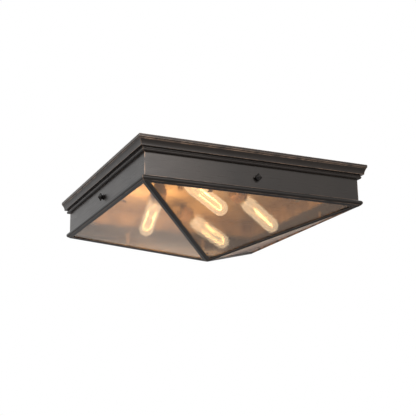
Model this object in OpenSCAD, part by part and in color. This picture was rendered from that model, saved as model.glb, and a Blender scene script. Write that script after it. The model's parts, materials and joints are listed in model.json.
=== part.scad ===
// Square flush mount ceiling light with a mitred crown, a shallow box and a glass pyramid shade.
// Millimetres. +Z is up and z = 0 is the ceiling. The origin is the middle of the mounting strap.
// X runs along the front side of the box and +Y points to the back.
// The four sides are numbered 0 back, 1 left, 2 front, 3 right.

/* [Overall size] */
// Width of the crown moulding across its outer faces
crown_width = 473; // [440:1:500]
// Height from the ceiling to the lowest point of the pyramid
total_height = 161.9; // [150:0.1:175]

/* [Crown moulding] */
// How far the crown stands out from the face of the box
crown_projection = 15.2; // [13:0.1:18]
// Height of the square fascia at the top of the crown
fascia_height = 5.2; // [4.4:0.1:6]
// Depth of the crown from the ceiling to the top of its bead
cove_depth = 18.9; // [16:0.1:22]
// Radius of the hollow cove in the crown face
cove_radius = 26.7; // [24:0.1:30]
// Radius of the bead under the cove
bead_radius = 3.05; // [2.4:0.05:3.6]
// How far the step between the cove and the bead stands out from the box
step_projection = 4.9; // [4:0.1:5.5]

/* [Box] */
// Distance from the ceiling to the lower edge of the box walls
wall_drop = 69.6; // [64:0.1:76]
// Thickness of the folded sheet
sheet = 1.2; // [1:0.1:1.5]
// Width of the flange that the walls turn in under the back pan
wall_flange = 13; // [10:0.5:16]
// Gap between the back pan and the reflector
wiring_gap = 4.2; // [3.6:0.1:6]

/* [Shade] */
// Radius of the rolled lip around the shade frame
lip_radius = 4.75; // [4:0.05:5.5]
// Height of the flange that stands up inside the box
upstand = 28; // [25:0.5:32]
// Width of the strip that borders each pane at the frame
strip_width = 7.2; // [6:0.1:9]
// Width of each wing of a hip rib
rib_wing = 6.8; // [6:0.1:8]
// Radius of the round bar along the middle of a hip rib
rib_bar = 2.2; // [1.9:0.05:2.4]
// Thickness of the strips and of the rib wings
strip_thick = 1.5; // [1.2:0.1:1.8]
// Thickness of the glass panes
pane_thick = 3; // [2.5:0.1:3.5]
// Side of the square cap at the tip of the pyramid
cap_side = 13; // [11:0.5:15]

/* [Lamps] */
// How far a bulb's tip hangs below its contact, as a share of the overall height
lamp_dip = 0.36; // [0.32:0.005:0.38]
// Length of a bulb from its contact to its tip
bulb_length = 124; // [116:0.5:128]
// Radius of the tubular glass
bulb_radius = 15; // [13.5:0.1:16]
// Radius of the screw base over its threads
base_radius = 13; // [12:0.1:13.5]
// Length of the screw base from its contact to its rim
base_length = 22; // [20:0.5:24]
// Distance from one thread of the screw base to the next
thread_pitch = 2.8; // [2.4:0.1:3.2]
// Length of the neck between the screw base and the full width of the glass
neck_length = 14; // [10:0.5:20]
// How deep the base sits in its holder
holder_depth = 14.5; // [12:0.1:19]
// Distance between the two legs of the filament
filament_gap = 16; // [10:0.5:17]
// Distance from the reflector down to the contact of each lamp
lamp_hang = 20.6; // [19.5:0.1:22]

/* [Thumb screws] */
// Height of the thumb screws above the lower edge of the box walls
screw_rise = 19.6; // [16:0.1:21]
// Side of the square faceted head
knob_side = 11; // [9:0.5:13]
// Radius of the threaded stem
stem_radius = 2; // [1.8:0.05:2.2]

/* [Mounting strap] */
// Distance between the slots that screw to the ceiling box
slot_spacing = 88.9; // [82.5:0.1:92]
// Distance between the two studs that carry the light
stud_spacing = 114; // [112:1:120]
// Thickness of the strap
strap_thick = 1.8; // [1.5:0.1:2.2]

/* [Hidden] */
$fn = 64;
// Clearance at pieces that are hung or set down, of a screw in its nut, and of the glass on its strip.
seat_gap = 0.3;
run_gap = 0.06;
glass_gap = 0.03;

// Crown and box. The bead hangs a little below the step.
half = crown_width / 2;
fascia_round = 1.4;
bead_mid = cove_depth + bead_radius + 2;
wall_out = half - crown_projection;
wall_in = wall_out - sheet;
pan_top = -strap_thick;
pan_low = pan_top - sheet;
flange_low = pan_low - sheet;
reflector_low = flange_low - wiring_gap + 0.2;
reflector_half = wall_in - seat_gap;
screw_drop = wall_drop - screw_rise;
nut_reach = 3;

// Shade frame. The slope starts at the foot of the rolled lip and ends in the tip.
web_top = -wall_drop - seat_gap;
up_out = wall_in - nut_reach - 2 * seat_gap;
up_in = up_out - sheet;
up_top = -wall_drop + upstand;
lip_x = wall_out + 1.15;
lip_z = web_top - lip_radius;
eave = lip_x + 0.58 * lip_radius;
eave_drop = -lip_z + 0.98 * lip_radius;
cap_low = total_height;
tip_drop = cap_low - 0.7;
slope_tan = (tip_drop - eave_drop) / eave;
pitch = atan(slope_tan);
pane_tip = -tip_drop + strip_thick / cos(pitch);
hip_angle = atan(cos(pitch));
pane_edge = lip_x - 1;
rib_end = lip_x - 0.5;
hip_inset = rib_bar + 0.5;
slope_in = pane_tip + (pane_thick + glass_gap) / cos(pitch);
clip_spot = 0.42;

// Lamps. All four hang at the same tilt.
lamp_drop = lamp_hang - reflector_low;
lamp_tilt = asin(lamp_dip * total_height / bulb_length);
cos_t = cos(lamp_tilt);
sin_t = sin(lamp_tilt);
// Contact position as a share of the inner half width, compass direction and filament turn.
lamp_left = [-0.49, -0.055, 84, 8];
lamp_front = [-0.545, -0.59, 9, 72];
lamp_right = [0.173, -0.273, 15, 48];
lamp_back = [0.01, 0.545, 5, 90];
holder_r = base_radius + 3.5;
holder_floor = 6;
bracket_thick = 1.5;
bracket_screws = [-10, -21];
knob_base = wall_out + 1;

// Turns a piece drawn for the back side to side k.
module side(k) {
  rotate([0, 0, 90 * k])
    children();
}

// Wedge of plan that belongs to the back side, between the two mitre planes.
module mitre_wedge(reach) {
  translate([0, 0, -200])
    linear_extrude(220)
      polygon([[0, 0], [reach, reach], [-reach, reach]]);
}

// Runs a section along the back side and cuts both ends on the mitre.
// The section is drawn with x outwards from the middle and y up.
module mitred_length(reach) {
  intersection() {
    translate([-reach, 0, 0])
      rotate([90, 0, 90])
        linear_extrude(2 * reach)
          children();
    mitre_wedge(reach);
  }
}

// Frame of one slope: y runs up from the tip in the plane that the glass lies on, z points inside.
module slope(k) {
  rotate([0, 0, 90 * k])
    translate([0, 0, pane_tip])
      rotate([pitch, 0, 0])
        children();
}

// Section of the crown: fascia with a rounded edge, hollow cove, step and bead.
module crown_shape(inset) {
  in = wall_out - (inset > 0 ? 0.01 : 0);
  edge = half - fascia_round;
  difference() {
    union() {
      translate([in, inset - fascia_height])
        square([half - inset - in, fascia_height - 2 * inset]);
      translate([in, inset - fascia_height - fascia_round])
        square([edge - in, fascia_round + 0.01]);
      translate([edge, -fascia_height])
        circle(fascia_round - min(inset, 1.2));
      translate([in, inset - cove_depth])
        square([edge - in, cove_depth - fascia_height - 1]);
    }
    translate([half - 5.1 + cove_radius, -cove_depth - 1.6])
      circle(cove_radius + inset, $fn = 180);
  }
  translate([in, -cove_depth - bead_radius])
    square([wall_out + step_projection - inset - in, bead_radius + 1 + inset]);
  translate([wall_out + bead_radius, -bead_mid])
    circle(bead_radius - inset);
  translate([in, -bead_mid - bead_radius + inset])
    square([wall_out + bead_radius - in, bead_radius + 1]);
}

module crown_section() {
  difference() {
    crown_shape(0);
    crown_shape(sheet);
  }
}

module crown_length(k) {
  side(k)
    mitred_length(half)
      crown_section();
}

// One wall of the box: an upright sheet with a flange turned in at the top and a hole for its screw.
module wall(k) {
  side(k)
    difference() {
      mitred_length(wall_out) {
        translate([wall_in, -wall_drop])
          square([sheet, wall_drop + pan_low]);
        translate([wall_out - wall_flange, flange_low])
          square([wall_flange, sheet]);
      }
      translate([0, wall_in - 1, -screw_drop])
        rotate([-90, 0, 0])
          cylinder(h = sheet + 2, r = stem_radius + 0.6);
    }
}

module stud_holes(r) {
  for (s = [-1, 1])
    translate([s * stud_spacing / 2, 0, -30])
      cylinder(h = 40, r = r);
}

module back_pan() {
  color([0.35, 0.33, 0.31])
    difference() {
      translate([-wall_out, -wall_out, pan_low])
        cube([2 * wall_out, 2 * wall_out, sheet]);
      stud_holes(2.6);
      translate([0, 0, pan_low - 1])
        cylinder(h = 4, r = 11);
    }
}

// Places a lamp piece: origin at the contact, x along the lamp towards its tip.
module at_lamp(p) {
  translate([p[0] * wall_in, p[1] * wall_in, -lamp_drop])
    rotate([0, lamp_tilt, p[2]])
      children();
}

// Places a piece level on the reflector under a lamp's bracket.
module at_foot(p) {
  translate([p[0] * wall_in, p[1] * wall_in, reflector_low])
    rotate([0, 0, p[2]])
      children();
}

module foot_screws(p) {
  for (x = bracket_screws)
    at_foot(p)
      translate([x, 0, 0])
        children();
}

// Brushed inner pan with a turned up rim, held up by the cap nuts.
module reflector() {
  color([0.62, 0.48, 0.3])
    difference() {
      translate([-reflector_half, -reflector_half, reflector_low])
        cube([2 * reflector_half, 2 * reflector_half, flange_low - reflector_low]);
      translate([1 - reflector_half, 1 - reflector_half, reflector_low + 1])
        cube([2 * reflector_half - 2, 2 * reflector_half - 2, 20]);
      stud_holes(2.6);
      for (p = [lamp_left, lamp_front, lamp_right, lamp_back])
        foot_screws(p)
          translate([0, 0, -1])
            cylinder(h = 4, r = 1.7);
    }
}

// Bar that screws to the ceiling box, with a round middle, two slots and two tapped stud holes.
module mounting_strap() {
  color([0.7, 0.7, 0.7])
    difference() {
      union() {
        translate([-stud_spacing / 2 - 8, -9, -strap_thick])
          cube([stud_spacing + 16, 18, strap_thick]);
        translate([0, 0, -strap_thick])
          cylinder(h = strap_thick, r = 19);
      }
      for (s = [-1, 1]) {
        translate([s * slot_spacing / 2 - 3.6, -2.4, -5])
          cube([7.2, 4.8, 10]);
        for (e = [-3.6, 3.6])
          translate([s * slot_spacing / 2 + e, 0, -5])
            cylinder(h = 10, r = 2.4);
      }
      translate([0, 0, -5])
        cylinder(h = 10, r = 10);
      stud_holes(2.02);
    }
}

module strap_studs() {
  color([0.75, 0.75, 0.75])
    for (s = [-1, 1])
      translate([s * stud_spacing / 2, 0, reflector_low - 6])
        cylinder(h = -reflector_low + 6, r = 2);
}

// Domed nuts under the reflector.
module cap_nuts() {
  color([0.2, 0.17, 0.15])
    for (s = [-1, 1])
      translate([s * stud_spacing / 2, 0, reflector_low])
        difference() {
          union() {
            translate([0, 0, -1.2])
              cylinder(h = 1.2, r = 6.5);
            translate([0, 0, -5])
              cylinder(h = 4, r = 5.2, $fn = 6);
            translate([0, 0, -5])
              sphere(r = 4.4);
          }
          translate([0, 0, -6.6])
            cylinder(h = 7, r = 2.05);
        }
}

// Fixed nuts behind the four walls for the thumb screws.
module clinch_nuts() {
  color([0.7, 0.7, 0.7])
    for (k = [0:3])
      side(k)
        translate([0, wall_in - nut_reach, -screw_drop])
          rotate([-90, 0, 0])
            difference() {
              union() {
                cylinder(h = nut_reach, r = 4.6);
                translate([0, 0, nut_reach - 1])
                  cylinder(h = 1, r = 6.5);
              }
              translate([0, 0, -1])
                cylinder(h = nut_reach + 2, r = stem_radius + run_gap);
            }
}

// Bent bracket: a foot flat on the reflector and an ear that leans square to the lamp.
// Its side is drawn with x along the lamp's direction and y up, from the underside of the reflector.
module bracket(p) {
  rise = -lamp_drop - reflector_low;
  back = -holder_floor - bracket_thick;
  front = -holder_floor;
  low = -13;
  function spot(x, h) = [x * cos_t + h * sin_t, rise - x * sin_t + h * cos_t];
  function reach(x, y) = (y - rise + x * sin_t) / cos_t;
  color([0.3, 0.27, 0.25])
    difference() {
      at_foot(p)
        translate([0, 11, 0])
          rotate([90, 0, 0])
            linear_extrude(22)
              polygon([[-27, 0], [-27, -bracket_thick], spot(back, reach(back, -bracket_thick)),
                spot(back, low), spot(front, low), spot(front, reach(front, 0))]);
      foot_screws(p)
        translate([0, 0, -5])
          cylinder(h = 10, r = 1.7);
    }
}

module bracket_screws_set() {
  color([0.75, 0.72, 0.66])
    for (p = [lamp_left, lamp_front, lamp_right, lamp_back])
      foot_screws(p) {
        translate([0, 0, -bracket_thick - 1.9])
          difference() {
            cylinder(h = 1.9, r = 3.2);
            translate([-4, -0.4, -0.1])
              cube([8, 0.8, 0.9]);
          }
        translate([0, 0, -bracket_thick])
          cylinder(h = bracket_thick + 2.4, r = 1.6);
      }
}

// Round lamp holder: closed back, shoulder for the contact and a bore for the screw base.
module holder(p) {
  color([0.13, 0.12, 0.11])
    at_lamp(p)
      rotate([0, 90, 0])
        rotate_extrude()
          difference() {
            union() {
              translate([0, -holder_floor])
                square([holder_r - 2, 4]);
              translate([0, -holder_floor + 2])
                square([holder_r - 1, holder_depth + holder_floor - 2]);
              translate([0, holder_depth - 3])
                square([holder_r, 3]);
            }
            translate([0, -seat_gap])
              square([base_radius - 3.4, 30]);
            translate([0, 5 - seat_gap])
              square([base_radius + 0.1, 30]);
          }
}

// Screw base: a contact button, a cone and a threaded cup.
module bulb_base(p) {
  r = base_radius;
  g = base_radius - 0.7;
  in = base_radius - 1.6;
  first_crest = 7.6;
  button = [[0, 0], [3.6, 0], [4.4, 0.8], [4.4, 2], [r - 4, 4.2], [r - 4, 5], [g, 5.4]];
  threads = [for (i = [0:3], e = [[g, -1], [r, 0], [g, 1]])
    [e[0], first_crest + i * thread_pitch + e[1]]];
  rim = [[g, base_length - 0.6], [r - 0.2, base_length], [r - 1.3, base_length],
    [in, base_length - 2], [in, 8], [0, 8]];
  color([0.72, 0.6, 0.36])
    at_lamp(p)
      rotate([0, 90, 0])
        rotate_extrude()
          polygon(concat(button, threads, rim));
}

// Tubular glass with a tapered neck and a round end, open inside the base.
module bulb_shell(t) {
  n = base_radius - 1.8 - t;
  r = bulb_radius - t;
  shoulder = base_length + neck_length;
  translate([0, 10 - t])
    square([n, base_length - 9 + t]);
  polygon([[0, base_length], [n, base_length], [n + 0.5, base_length + 2], [r - 0.7, shoulder - 3],
    [r, shoulder], [0, shoulder]]);
  translate([0, shoulder - 0.1])
    square([r, bulb_length - bulb_radius - shoulder + 0.1]);
  intersection() {
    translate([0, bulb_length - bulb_radius])
      circle(r);
    square([r + 1, bulb_length]);
  }
}

module bulb_glass(p) {
  color([0.9, 0.86, 0.75, 0.4])
    at_lamp(p)
      rotate([0, 90, 0])
        rotate_extrude()
          difference() {
            bulb_shell(0);
            bulb_shell(1);
          }
}

// Hairpin filament: two long legs joined by a round end.
module filament(p) {
  bend = bulb_length - bulb_radius - 5;
  color([1, 0.8, 0.35])
    at_lamp(p)
      rotate([p[3], 0, 0]) {
        for (s = [-1, 1])
          translate([8, s * filament_gap / 2, 0])
            rotate([0, 90, 0])
              cylinder(h = bend - 8, r = 0.8);
        translate([bend, 0, 0])
          rotate([0, 0, -90])
            rotate_extrude(angle = 180)
              translate([filament_gap / 2, 0])
                circle(0.8);
      }
}

// Section of the shade frame: upstand, web and the rolled lip, which is half a tube.
module lip_section() {
  difference() {
    translate([lip_x, lip_z])
      circle(lip_radius);
    translate([lip_x, lip_z])
      circle(lip_radius - strip_thick);
    translate([lip_x - 10, lip_z - 10])
      square([10, 20]);
  }
  translate([up_in, web_top - strip_thick])
    square([lip_x - up_in + 0.3, strip_thick]);
  translate([up_in, web_top - strip_thick])
    square([sheet, up_top - web_top + strip_thick]);
}

// Section of the sloping strip that carries the edge of the glass.
module strip_section() {
  strip_end = eave - strip_width * cos(pitch);
  strip_low = eave_drop + strip_width * sin(pitch);
  dx = strip_thick * sin(pitch);
  dz = strip_thick * cos(pitch);
  polygon([[eave, -eave_drop], [strip_end, -strip_low], [strip_end - dx, dz - strip_low],
    [eave - dx - 0.4 * cos(pitch), dz - eave_drop - 0.4 * sin(pitch)]]);
}

// Wing of a rib on one side of a hip, in the frame of a slope. s is 1 for its right hip.
module rib_wing_on(s) {
  h = [sin(hip_angle), cos(hip_angle)];
  n = [-cos(hip_angle), sin(hip_angle)];
  far = rib_end / cos(pitch);
  mirror([s < 0 ? 1 : 0, 0, 0])
    translate([0, 0, -strip_thick])
      linear_extrude(strip_thick)
        intersection() {
          polygon([[0, 0], h * 2 * far, h * 2 * far + n * rib_wing, n * rib_wing]);
          square([2 * far, far]);
        }
}

// Rib over the hip between side k and side k + 1: two wings and a round bar.
module rib_body(k) {
  hip_rise = atan(slope_tan / sqrt(2));
  difference() {
    union() {
      slope(k)
        rib_wing_on(-1);
      slope(k + 1)
        rib_wing_on(1);
      intersection() {
        rotate([0, 0, 90 * k + 135])
          translate([0, 0, pane_tip])
            rotate([0, 90 - hip_rise, 0])
              cylinder(h = 2 * rib_end, r = rib_bar);
        translate([-rib_end, -rib_end, -2 * total_height])
          cube([2 * rib_end, 2 * rib_end, 2 * total_height]);
      }
    }
    translate([-cap_side / 2, -cap_side / 2, -200])
      cube([cap_side, cap_side, 100]);
  }
}

module rail(k) {
  difference() {
    side(k) {
      mitred_length(lip_x + lip_radius + 1)
        lip_section();
      mitred_length(lip_x + lip_radius + 1)
        strip_section();
    }
    rib_body(k);
    rib_body(k - 1);
  }
}

// Flat triangular pane, cut back from the hips and from the cap.
module pane(k) {
  far = pane_edge / cos(pitch);
  near = cap_side / 2 + 2;
  side_cut = hip_inset / cos(hip_angle);
  w_far = far * tan(hip_angle) - side_cut;
  w_near = near * tan(hip_angle) - side_cut;
  slope(k)
    translate([0, 0, glass_gap])
      linear_extrude(pane_thick)
        polygon([[-w_near, near], [w_near, near], [w_far, far], [-w_far, far]]);
}

// Bent clips behind the upstand that hold the panes down on their strips.
module pane_clips() {
  foot_in = up_in - 9;
  z_out = slope_in + slope_tan * up_in + 0.2;
  z_in = slope_in + slope_tan * foot_in + 0.2;
  color([0.35, 0.32, 0.3])
    for (k = [0:3])
      side(k)
        for (s = [-1, 1])
          translate([s * clip_spot * up_in - 4, 0, 0])
            rotate([90, 0, 90])
              linear_extrude(8)
                polygon([[up_in, z_out], [up_in, web_top + 12], [up_in - 0.8, web_top + 12],
                  [up_in - 0.8, z_out + 0.6], [foot_in, z_in + 0.9], [foot_in, z_in]]);
}

// Low pyramid over the meeting of the four ribs, with a threaded stem inside.
module apex_cap() {
  rim = tip_drop - slope_tan * cap_side / 2 + 0.7;
  c = cap_side / 2;
  color([0.16, 0.14, 0.13]) {
    intersection() {
      translate([0, c, 0])
        rotate([90, 0, 0])
          linear_extrude(cap_side)
            polygon([[-c, -rim], [0, -cap_low], [c, -rim], [c, 3 - rim], [-c, 3 - rim]]);
      translate([-c, 0, 0])
        rotate([90, 0, 90])
          linear_extrude(cap_side)
            polygon([[-c, -rim], [0, -cap_low], [c, -rim], [c, 3 - rim], [-c, 3 - rim]]);
    }
    translate([0, 0, 2 - rim])
      cylinder(h = 15, r = 2.5);
  }
}

// Square plate and hexagon nut that draw the cap up against the glass.
module apex_nut() {
  plate = 15;
  z0 = slope_in + slope_tan * plate + 0.2;
  color([0.6, 0.58, 0.55])
    difference() {
      union() {
        translate([-plate, -plate, z0])
          cube([2 * plate, 2 * plate, 1.2]);
        translate([0, 0, z0 + 1.2])
          cylinder(h = 3.4, r = 5, $fn = 6);
      }
      translate([0, 0, z0 - 1])
        cylinder(h = 10, r = 2.55);
    }
}

module washer(k) {
  color([0.55, 0.45, 0.3])
    side(k)
      translate([0, wall_out, -screw_drop])
        rotate([-90, 0, 0])
          difference() {
            cylinder(h = 1, r = 5.6);
            translate([0, 0, -1])
              cylinder(h = 3, r = stem_radius + run_gap);
          }
}

// Thumb screw: a smooth stem, a collar and a square head cut to a pyramid, set corner up.
module thumb_screw(k) {
  c = knob_side / 2;
  color([0.12, 0.1, 0.09])
    side(k)
      translate([0, 0, -screw_drop]) {
        translate([0, up_out + seat_gap, 0])
          rotate([-90, 0, 0])
            cylinder(h = knob_base - up_out, r = stem_radius);
        translate([0, knob_base, 0])
          rotate([-90, 0, 0])
            cylinder(h = 3, r = 4.2);
        translate([0, knob_base + 2.6, 0])
          rotate([0, 45, 0])
            intersection() {
              translate([0, 0, -c])
                linear_extrude(knob_side)
                  polygon([[-c, 1], [-c + 1, 0], [c - 1, 0], [c, 1], [c, 2.4], [0, 7.6], [-c, 2.4]]);
              translate([-c, 0, 0])
                rotate([90, 0, 90])
                  linear_extrude(knob_side)
                    polygon([[1, -c], [0, -c + 1], [0, c - 1], [1, c], [2.4, c], [7.6, 0], [2.4, -c]]);
            }
      }
}

module bronze() {
  color([0.17, 0.15, 0.14])
    children();
}

module clear_glass() {
  color([0.8, 0.72, 0.62, 0.35])
    children();
}

module crown_back() {
  bronze()
    crown_length(0);
}

module crown_left() {
  bronze()
    crown_length(1);
}

module crown_front() {
  bronze()
    crown_length(2);
}

module crown_right() {
  bronze()
    crown_length(3);
}

module wall_back() {
  bronze()
    wall(0);
}

module wall_left() {
  bronze()
    wall(1);
}

module wall_front() {
  bronze()
    wall(2);
}

module wall_right() {
  bronze()
    wall(3);
}

module bracket_left() {
  bracket(lamp_left);
}

module bracket_front() {
  bracket(lamp_front);
}

module bracket_right() {
  bracket(lamp_right);
}

module bracket_back() {
  bracket(lamp_back);
}

module holder_left() {
  holder(lamp_left);
}

module holder_front() {
  holder(lamp_front);
}

module holder_right() {
  holder(lamp_right);
}

module holder_back() {
  holder(lamp_back);
}

module bulb_base_left() {
  bulb_base(lamp_left);
}

module bulb_glass_left() {
  bulb_glass(lamp_left);
}

module filament_left() {
  filament(lamp_left);
}

module bulb_base_front() {
  bulb_base(lamp_front);
}

module bulb_glass_front() {
  bulb_glass(lamp_front);
}

module filament_front() {
  filament(lamp_front);
}

module bulb_base_right() {
  bulb_base(lamp_right);
}

module bulb_glass_right() {
  bulb_glass(lamp_right);
}

module filament_right() {
  filament(lamp_right);
}

module bulb_base_back() {
  bulb_base(lamp_back);
}

module bulb_glass_back() {
  bulb_glass(lamp_back);
}

module filament_back() {
  filament(lamp_back);
}

module rail_back() {
  bronze()
    rail(0);
}

module rail_left() {
  bronze()
    rail(1);
}

module rail_front() {
  bronze()
    rail(2);
}

module rail_right() {
  bronze()
    rail(3);
}

module rib_back_left() {
  bronze()
    rib_body(0);
}

module rib_front_left() {
  bronze()
    rib_body(1);
}

module rib_front_right() {
  bronze()
    rib_body(2);
}

module rib_back_right() {
  bronze()
    rib_body(3);
}

module pane_back() {
  clear_glass()
    pane(0);
}

module pane_left() {
  clear_glass()
    pane(1);
}

module pane_front() {
  clear_glass()
    pane(2);
}

module pane_right() {
  clear_glass()
    pane(3);
}

module washer_back() {
  washer(0);
}

module washer_left() {
  washer(1);
}

module washer_front() {
  washer(2);
}

module washer_right() {
  washer(3);
}

module thumb_screw_back() {
  thumb_screw(0);
}

module thumb_screw_left() {
  thumb_screw(1);
}

module thumb_screw_front() {
  thumb_screw(2);
}

module thumb_screw_right() {
  thumb_screw(3);
}

crown_back();
crown_left();
crown_front();
crown_right();
wall_back();
wall_left();
wall_front();
wall_right();
back_pan();
reflector();
mounting_strap();
strap_studs();
cap_nuts();
clinch_nuts();
bracket_left();
bracket_front();
bracket_right();
bracket_back();
bracket_screws_set();
holder_left();
holder_front();
holder_right();
holder_back();
bulb_base_left();
bulb_glass_left();
filament_left();
bulb_base_front();
bulb_glass_front();
filament_front();
bulb_base_right();
bulb_glass_right();
filament_right();
bulb_base_back();
bulb_glass_back();
filament_back();
rail_back();
rail_left();
rail_front();
rail_right();
rib_back_left();
rib_front_left();
rib_front_right();
rib_back_right();
pane_back();
pane_left();
pane_front();
pane_right();
pane_clips();
apex_cap();
apex_nut();
washer_back();
washer_left();
washer_front();
washer_right();
thumb_screw_back();
thumb_screw_left();
thumb_screw_front();
thumb_screw_right();
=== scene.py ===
# %% [markdown]
# # A square flush mount ceiling light
# The light is a shallow bronze box under a crown moulding. A glass pyramid hangs from the box, and
# four clear tube bulbs shine through it. The CAD model fixes every size and place, so this script
# starts from its solids. It gives the metal its fine broken edges and rubbed finish, and it builds
# what a plain solid can't show: blown bulbs with a glass stem and a lit hairpin, rolled screw
# threads, moulded lamp holders and wavy panes.

import json
import math

import bmesh
import bpy
from mathutils import Matrix, Vector


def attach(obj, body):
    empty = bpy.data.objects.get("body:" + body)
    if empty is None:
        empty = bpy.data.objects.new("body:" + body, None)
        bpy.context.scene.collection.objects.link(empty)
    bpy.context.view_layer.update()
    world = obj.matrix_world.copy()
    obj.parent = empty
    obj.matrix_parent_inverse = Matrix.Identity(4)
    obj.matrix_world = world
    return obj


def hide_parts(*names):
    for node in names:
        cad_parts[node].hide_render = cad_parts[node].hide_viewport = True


MM = 0.001
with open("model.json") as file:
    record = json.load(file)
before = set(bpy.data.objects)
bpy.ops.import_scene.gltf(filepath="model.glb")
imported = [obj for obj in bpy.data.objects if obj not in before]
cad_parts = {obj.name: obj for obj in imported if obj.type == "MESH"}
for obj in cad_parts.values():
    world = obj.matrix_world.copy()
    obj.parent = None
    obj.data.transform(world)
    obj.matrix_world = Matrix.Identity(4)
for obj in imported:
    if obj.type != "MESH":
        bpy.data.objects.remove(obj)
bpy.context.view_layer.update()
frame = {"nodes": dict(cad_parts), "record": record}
nodes = frame["nodes"]

# %% [markdown]
# ## Camera
# The photograph looks up at the light from below, over the near corner of the box. Its corners were
# matched with a pinhole camera, which gave a place, a heading, a rise, a slight tilt and a lens. A
# camera in Blender looks along its own -Z, so its matrix is built from three directions: right, up
# and back. That is clearer than Euler angles, because the tilt turns only the first two.

# %% Camera
CAMERA_PLACE = Vector((-0.7574, -1.5994, -0.5432))
CAMERA_HEADING = math.radians(64.533)
CAMERA_RISE = math.radians(15.593)
CAMERA_TILT = math.radians(-1.131)
CAMERA_LENS = 77.56
SENSOR_WIDTH = 36
CLIP_NEAR, CLIP_FAR = 0.01, 50

ahead = Vector((
    math.cos(CAMERA_RISE) * math.cos(CAMERA_HEADING),
    math.cos(CAMERA_RISE) * math.sin(CAMERA_HEADING),
    math.sin(CAMERA_RISE),
))
level_right = ahead.cross(Vector((0, 0, 1))).normalized()
level_up = level_right.cross(ahead)
right = math.cos(CAMERA_TILT) * level_right + math.sin(CAMERA_TILT) * level_up
up = math.cos(CAMERA_TILT) * level_up - math.sin(CAMERA_TILT) * level_right

camera_data = bpy.data.cameras.new("photo_camera")
camera_data.sensor_width = SENSOR_WIDTH
camera_data.lens = CAMERA_LENS
camera_data.clip_start = CLIP_NEAR
camera_data.clip_end = CLIP_FAR
camera = bpy.data.objects.new("photo_camera", camera_data)
camera.matrix_world = (
    Matrix.Translation(CAMERA_PLACE) @ Matrix((right, up, -ahead)).transposed().to_4x4()
)
bpy.context.scene.collection.objects.link(camera)
bpy.context.scene.camera = camera
bpy.context.scene.view_settings.view_transform = "Standard"
print(f"camera at {tuple(camera.location)}, lens {camera_data.lens:.2f} mm")

# %% [markdown]
# ## Room
# A ceiling light hangs over a floor, so the pale floor lies a room's height below it and shows in
# the glass as a soft reflection. The world is a plain grey studio. Rays that come straight from the
# camera, or through glass or off metal, see it as white instead. Matt surfaces get only grey light
# from it.

# %% Floor and world
FLOOR_DROP = 2.2
FLOOR_HALF = 40
WORLD_LEVEL = 0.45


def put(name, bm, body=None, materials=()):
    """Makes a mesh object from a bmesh, links it, and lets it ride on a body of the frame."""
    mesh = bpy.data.meshes.new(name)
    bm.to_mesh(mesh)
    bm.free()
    piece = bpy.data.objects.new(name, mesh)
    bpy.context.scene.collection.objects.link(piece)
    for material in materials:
        mesh.materials.append(material)
    if body:
        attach(piece, body)
    return piece


floor_mesh = bmesh.new()
bmesh.ops.create_grid(
    floor_mesh,
    x_segments=1,
    y_segments=1,
    size=FLOOR_HALF,
    matrix=Matrix.Translation((0, 0, -FLOOR_DROP)),
)
floor = put("floor", floor_mesh)

world = bpy.data.worlds.new("studio")
bpy.context.scene.world = world
world.use_nodes = True
world_tree = world.node_tree
world_tree.nodes.clear()
world_out = world_tree.nodes.new("ShaderNodeOutputWorld")
world_mix = world_tree.nodes.new("ShaderNodeMixShader")
world_light = world_tree.nodes.new("ShaderNodeBackground")
world_white = world_tree.nodes.new("ShaderNodeBackground")
world_path = world_tree.nodes.new("ShaderNodeLightPath")
seen = world_tree.nodes.new("ShaderNodeMath")
mirrored = world_tree.nodes.new("ShaderNodeMath")
seen.operation = mirrored.operation = "MAXIMUM"
world_light.inputs["Color"].default_value = (0.97, 0.98, 1.0, 1)
world_light.inputs["Strength"].default_value = WORLD_LEVEL
world_white.inputs["Color"].default_value = (1, 1, 1, 1)
world_white.inputs["Strength"].default_value = 1.0
world_tree.links.new(world_path.outputs["Is Camera Ray"], seen.inputs[0])
world_tree.links.new(world_path.outputs["Is Glossy Ray"], mirrored.inputs[0])
world_tree.links.new(world_path.outputs["Is Transmission Ray"], mirrored.inputs[1])
world_tree.links.new(mirrored.outputs[0], seen.inputs[1])
world_tree.links.new(seen.outputs[0], world_mix.inputs["Fac"])
world_tree.links.new(world_light.outputs[0], world_mix.inputs[1])
world_tree.links.new(world_white.outputs[0], world_mix.inputs[2])
world_tree.links.new(world_mix.outputs[0], world_out.inputs["Surface"])
print("floor and world are in place")

# %% [markdown]
# ## Studio lights
# Four broad area lights stand in for soft boxes. One on the left and one near the camera light the
# walls, and one above lights the top. The last one lights only the floor far behind, because the
# left panes mirror that floor and the photograph shows a pale veil there. Area lights point along
# their own -Z, so each is aimed with to_track_quat.

# %% Soft boxes
# Each box has a place, a target, a width in metres and a power in watts.
SOFT_BOXES = {
    "soft_box_left": ((-2.4, 0.9, 0.6), (0, 0, 0), 1.6, 8),
    "soft_box_near": ((0.1, -2.4, 0.65), (0, 0, 0), 1.0, 30),
    "soft_box_top": ((0.8, 0.4, 2.2), (0, 0, 0), 2.0, 14),
    "soft_box_floor": ((0.9, 4.3, -0.6), (0.9, 4.3, -2.2), 3.0, 22),
}


def aim(thing, place, target):
    """Puts a thing at a place and turns its -Z towards a target."""
    thing.location = place
    thing.rotation_mode = "QUATERNION"
    thing.rotation_quaternion = (Vector(target) - Vector(place)).to_track_quat("-Z", "Y")


for name, (place, target, size, power) in SOFT_BOXES.items():
    light = bpy.data.lights.new(name, "AREA")
    light.shape = "SQUARE"
    light.size = size
    light.energy = power
    box = bpy.data.objects.new(name, light)
    aim(box, place, target)
    box.visible_camera = False
    bpy.context.scene.collection.objects.link(box)
    print(f"{name}: {power} W, {size} m wide")

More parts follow.
